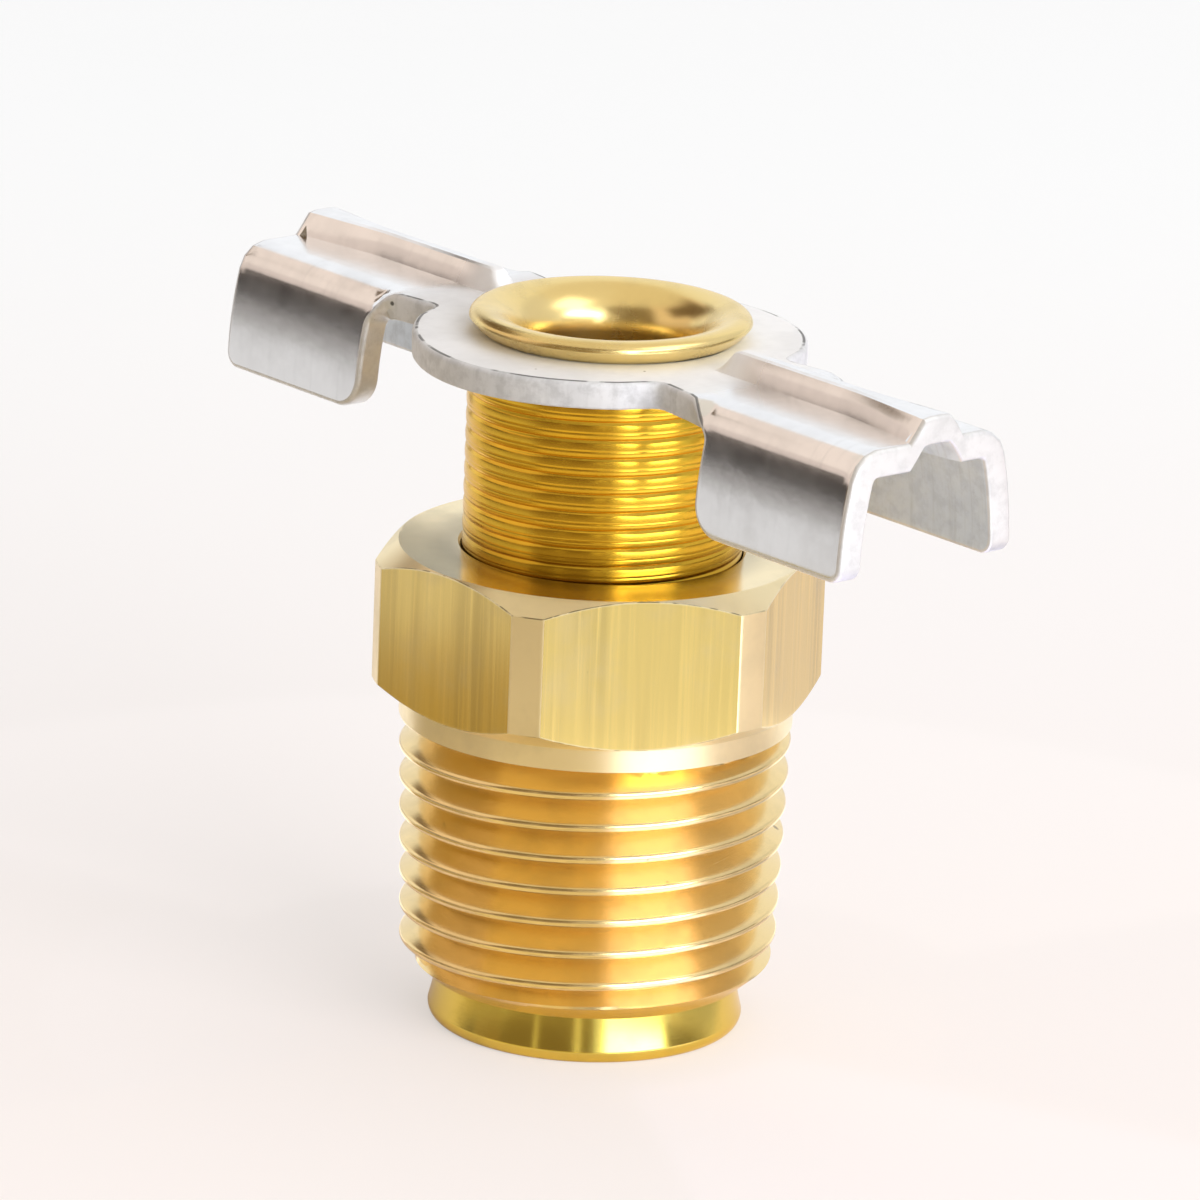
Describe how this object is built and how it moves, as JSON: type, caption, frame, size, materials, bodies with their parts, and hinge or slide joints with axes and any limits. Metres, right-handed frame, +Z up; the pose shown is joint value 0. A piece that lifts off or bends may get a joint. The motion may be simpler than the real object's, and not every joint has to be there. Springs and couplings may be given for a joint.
{
  "type": "drain cock",
  "caption": "Brass drain cock: hexagon body with male taper pipe thread, hollow screw stem with a sealing head, and a stamped T-handle that lowers the head off its seat to drain a tank.",
  "frame": {"origin": "centre of the stem head's underside, on the stem axis, with the cock closed", "axes": "+Z up along the stem towards the handle, +X along the handle's length"},
  "size_m": [0.052, 0.0226, 0.0401],
  "materials": {
    "body_brass": "satin turned and drawn bar brass",
    "stem_brass": "bright turned brass",
    "plated_steel": "bright zinc plate on stamped sheet steel",
    "seal_rubber": "black nitrile rubber"
  },
  "bodies": {
    "valve_body": {"body": "body_brass"},
    "seal_ring": {"seal": "seal_rubber"},
    "stem_and_handle": {"stem": "stem_brass", "handle": "plated_steel"}
  },
  "joints": [
    {"name": "stem_lift", "type": "slide", "parent": "valve_body", "child": "seal_ring", "axis": [0, 0, 1], "range_m": [-0.0098, 0]},
    {"name": "handle_turn", "type": "hinge", "parent": "seal_ring", "child": "stem_and_handle", "pos_m": [0, 0, 0], "axis": [0, 0, 1], "range_deg": [-3510, 0]}
  ],
  "couplings": [
    {"joint": "stem_lift", "follows": "handle_turn", "m_per_rad": 0.00015915}
  ]
}
